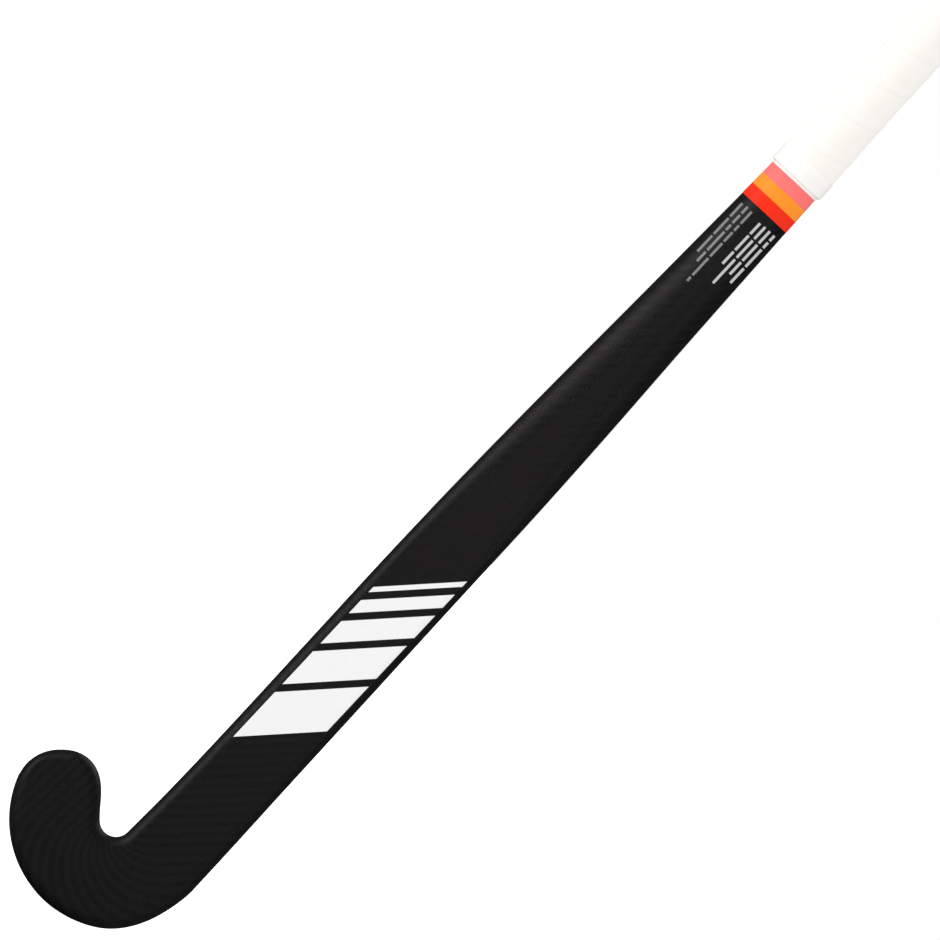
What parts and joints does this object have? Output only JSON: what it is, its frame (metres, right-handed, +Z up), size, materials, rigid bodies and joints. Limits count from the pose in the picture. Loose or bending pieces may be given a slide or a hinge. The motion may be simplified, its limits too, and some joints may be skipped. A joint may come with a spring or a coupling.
{
  "type": "field hockey stick",
  "caption": "Right-handed composite field hockey stick with a hooked head, flat playing face, bowed shaft and wrapped handle.",
  "frame": {"origin": "at the lowest point of the head, under the middle of the stick's bounding box, with the stick held upright", "axes": "+Z up along the straight handle towards the butt, -Y out of the flat playing face, -X from the heel towards the toe"},
  "size_m": [0.1156, 0.0584, 0.927],
  "materials": {
    "carbon_body": "matt black carbon laminate with a faint twill weave under a thin clear coat",
    "aramid_layer": "golden aramid cloth set in resin",
    "foam": "cream rigid polyurethane foam",
    "tube_carbon": "unpolished carbon laminate",
    "damper_silicone": "soft grey-blue silicone",
    "cap_rubber": "moulded off-white rubber, satin",
    "disc_black": "black plastic, satin",
    "underlay_foam": "thin grey-white cushion tape",
    "grip_pu": "off-white polyurethane grip, matt, finely grained",
    "tape_white": "white electrical-type tape, satin",
    "band_red": "red lacquer, satin",
    "band_orange": "orange lacquer, satin",
    "band_pink": "coral pink lacquer, satin",
    "print_white": "white screen print, satin",
    "print_grey": "grey screen print, satin",
    "print_silver": "pale grey screen print, satin"
  },
  "bodies": {
    "root": {"carbon_shell": "carbon_body", "aramid_head_sock": "aramid_layer", "head_foam_core": "foam", "toe_side_tube": "tube_carbon", "heel_side_tube": "tube_carbon", "vibration_damper": "damper_silicone", "butt_foam_plugs": "foam", "butt_cap": "cap_rubber", "butt_disc": "disc_black", "grip_underlay": "underlay_foam", "grip_wrap": "grip_pu", "finishing_tape": "tape_white", "band_red": "band_red", "band_orange": "band_orange", "band_pink": "band_pink", "face_slashes": "print_white", "print_bars_fine": "print_grey", "print_bars_bold": "print_silver"}
  },
  "joints": []
}
